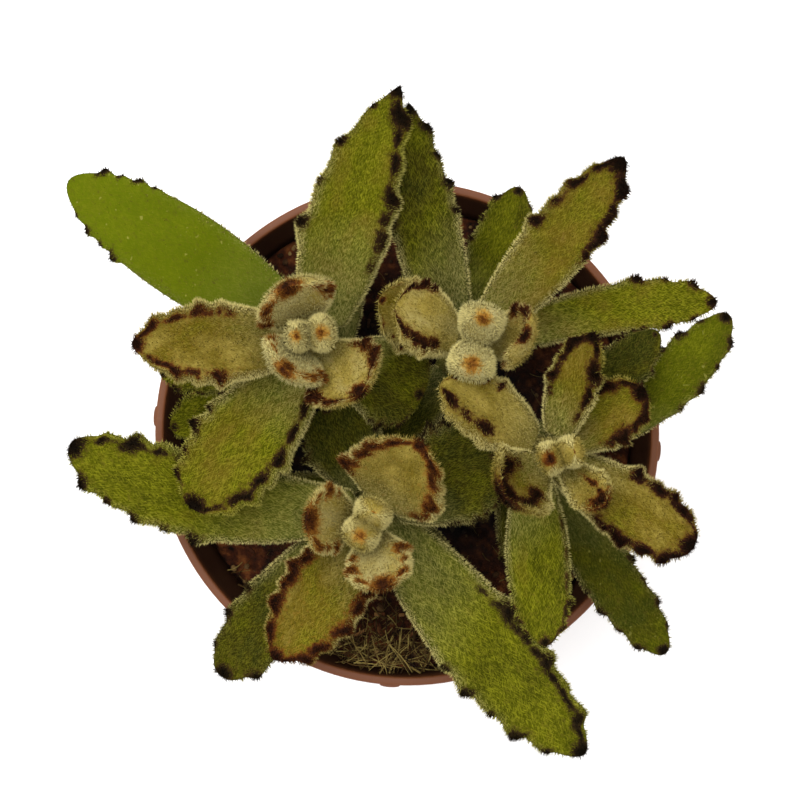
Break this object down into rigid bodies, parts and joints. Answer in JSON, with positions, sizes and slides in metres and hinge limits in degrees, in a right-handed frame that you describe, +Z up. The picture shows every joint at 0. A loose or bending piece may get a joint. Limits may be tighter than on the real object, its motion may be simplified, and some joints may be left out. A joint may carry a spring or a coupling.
{
  "type": "panda plant in a pot",
  "caption": "Potted succulent with short upright shoots of thick, felted, toothed leaves in opposite pairs, rooted in dark peat in a plain round tapered plastic nursery pot.",
  "frame": {"origin": "centre of the pot's flat underside, on the surface the pot stands on", "axes": "+Z up along the pot's axis; +Y towards the shoot pair that leans away from the viewer, +X to the viewer's right"},
  "size_m": [0.1332, 0.1309, 0.1332],
  "materials": {
    "pot": "matte moulded polypropylene",
    "soil": "moist dark peat with bits of bark and straw",
    "stem": "fleshy stem and bud under pale felt",
    "leaf": "thick fleshy leaf under short pale felt"
  },
  "bodies": {
    "root": {"pot": "pot", "soil": "soil", "stem_nw": "stem", "leaf_nw_01": "leaf", "leaf_nw_02": "leaf", "leaf_nw_03": "leaf", "leaf_nw_04": "leaf", "leaf_nw_05": "leaf", "leaf_nw_06": "leaf", "leaf_nw_07": "leaf", "leaf_nw_08": "leaf", "leaf_nw_09": "leaf", "leaf_nw_10": "leaf", "leaf_nw_11": "leaf", "leaf_nw_12": "leaf", "stem_ne": "stem", "leaf_ne_01": "leaf", "leaf_ne_02": "leaf", "leaf_ne_03": "leaf", "leaf_ne_04": "leaf", "leaf_ne_05": "leaf", "leaf_ne_06": "leaf", "leaf_ne_07": "leaf", "leaf_ne_08": "leaf", "leaf_ne_09": "leaf", "leaf_ne_10": "leaf", "stem_e": "stem", "leaf_e_01": "leaf", "leaf_e_02": "leaf", "leaf_e_03": "leaf", "leaf_e_04": "leaf", "leaf_e_05": "leaf", "leaf_e_06": "leaf", "leaf_e_07": "leaf", "leaf_e_08": "leaf", "leaf_e_09": "leaf", "leaf_e_10": "leaf", "leaf_e_11": "leaf", "leaf_e_12": "leaf", "leaf_e_13": "leaf", "stem_s": "stem", "leaf_s_01": "leaf", "leaf_s_02": "leaf", "leaf_s_03": "leaf", "leaf_s_04": "leaf", "leaf_s_05": "leaf", "leaf_s_06": "leaf", "leaf_s_07": "leaf", "leaf_s_08": "leaf", "leaf_s_09": "leaf", "leaf_s_10": "leaf", "leaf_s_11": "leaf"}
  },
  "joints": []
}
